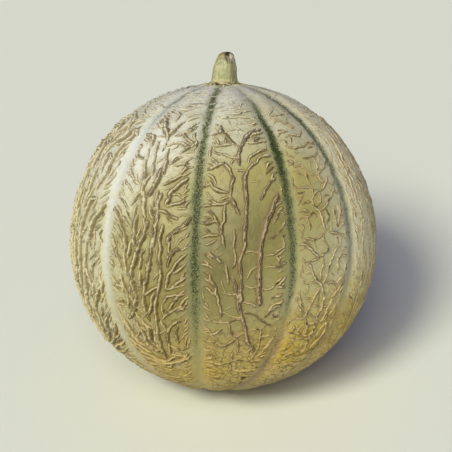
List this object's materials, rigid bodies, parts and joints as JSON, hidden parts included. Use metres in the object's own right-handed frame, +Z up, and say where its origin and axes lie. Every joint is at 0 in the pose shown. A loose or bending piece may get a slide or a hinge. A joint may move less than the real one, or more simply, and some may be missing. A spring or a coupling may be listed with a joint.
{
  "type": "cantaloupe melon",
  "caption": "Whole netted cantaloupe melon with shallow sutures and a short stub of its stem, leaning back and resting on a small flat spot.",
  "frame": {"origin": "middle of the flat spot that the fruit rests on, straight below the fruit's middle", "axes": "+Z up; the stem end leans back from +Z by 21 degrees towards +Y; +X to the right when facing the fruit from -Y"},
  "size_m": [0.1464, 0.1476, 0.1561],
  "materials": {
    "rind": "netted rind: matt corky beige ridges over smooth cream to olive skin, with dark green speckled sutures",
    "stem": "matt, fibrous, pale yellow-green, drying to brown at the tip"
  },
  "bodies": {
    "root": {"fruit": "rind", "stem": "stem"}
  },
  "joints": []
}
